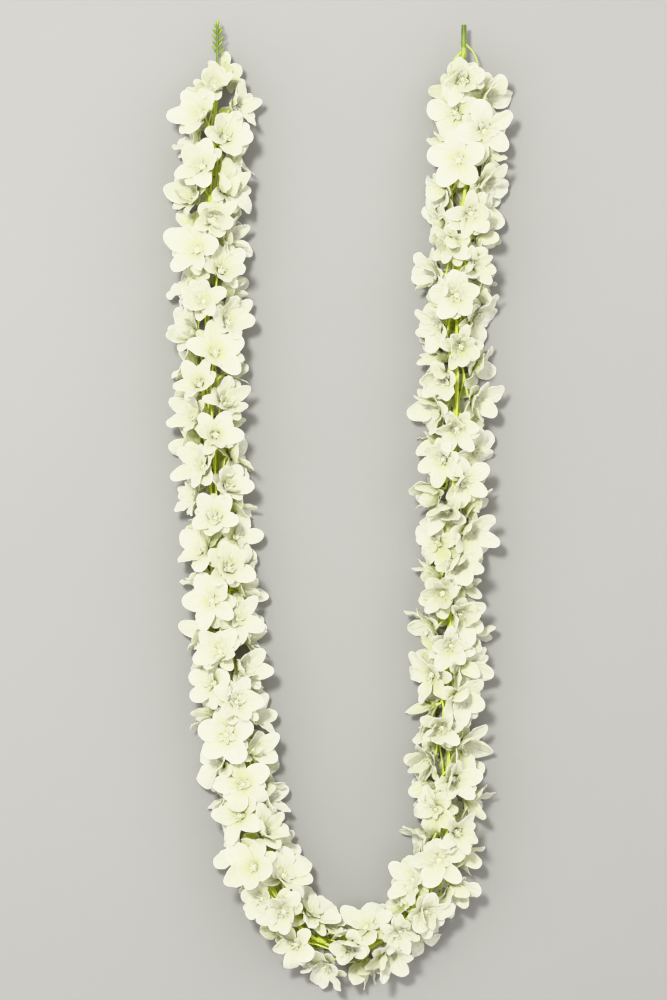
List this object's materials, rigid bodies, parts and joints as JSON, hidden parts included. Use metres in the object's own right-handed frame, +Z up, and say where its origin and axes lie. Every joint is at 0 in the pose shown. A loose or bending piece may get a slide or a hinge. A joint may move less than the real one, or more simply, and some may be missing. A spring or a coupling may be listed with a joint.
{
  "type": "artificial flower garland",
  "caption": "U-shaped garland of white five-petalled silk blooms on thin green stalks, threaded closely along one long bendable green stem with a bare budded tip.",
  "frame": {"origin": "on the surface that the garland lies on, under the centre of its box", "axes": "+Z up from that surface; +Y along the arms of the U, from the bend to the open end; +X to the right, from the arm with the bare tip to the arm with the cut stem"},
  "size_m": [0.326, 0.8962, 0.0645],
  "materials": {
    "stem": "moulded polyethylene, satin, yellow-green",
    "bloom": "woven polyester silk, matt ivory white, tinted yellow-green at the petal roots"
  },
  "bodies": {
    "root": {"stem": "stem", "spray_01": "bloom", "spray_02": "bloom", "spray_03": "bloom", "spray_04": "bloom", "spray_05": "bloom", "spray_06": "bloom", "spray_07": "bloom", "spray_08": "bloom", "spray_09": "bloom", "spray_10": "bloom", "spray_11": "bloom", "spray_12": "bloom", "spray_13": "bloom", "spray_14": "bloom", "spray_15": "bloom", "spray_16": "bloom", "spray_17": "bloom", "spray_18": "bloom", "spray_19": "bloom", "spray_20": "bloom", "spray_21": "bloom", "spray_22": "bloom", "spray_23": "bloom", "spray_24": "bloom", "spray_25": "bloom", "spray_26": "bloom", "spray_27": "bloom", "spray_28": "bloom", "spray_29": "bloom", "spray_30": "bloom", "spray_31": "bloom", "spray_32": "bloom", "spray_33": "bloom", "spray_34": "bloom", "spray_35": "bloom", "spray_36": "bloom"}
  },
  "joints": []
}
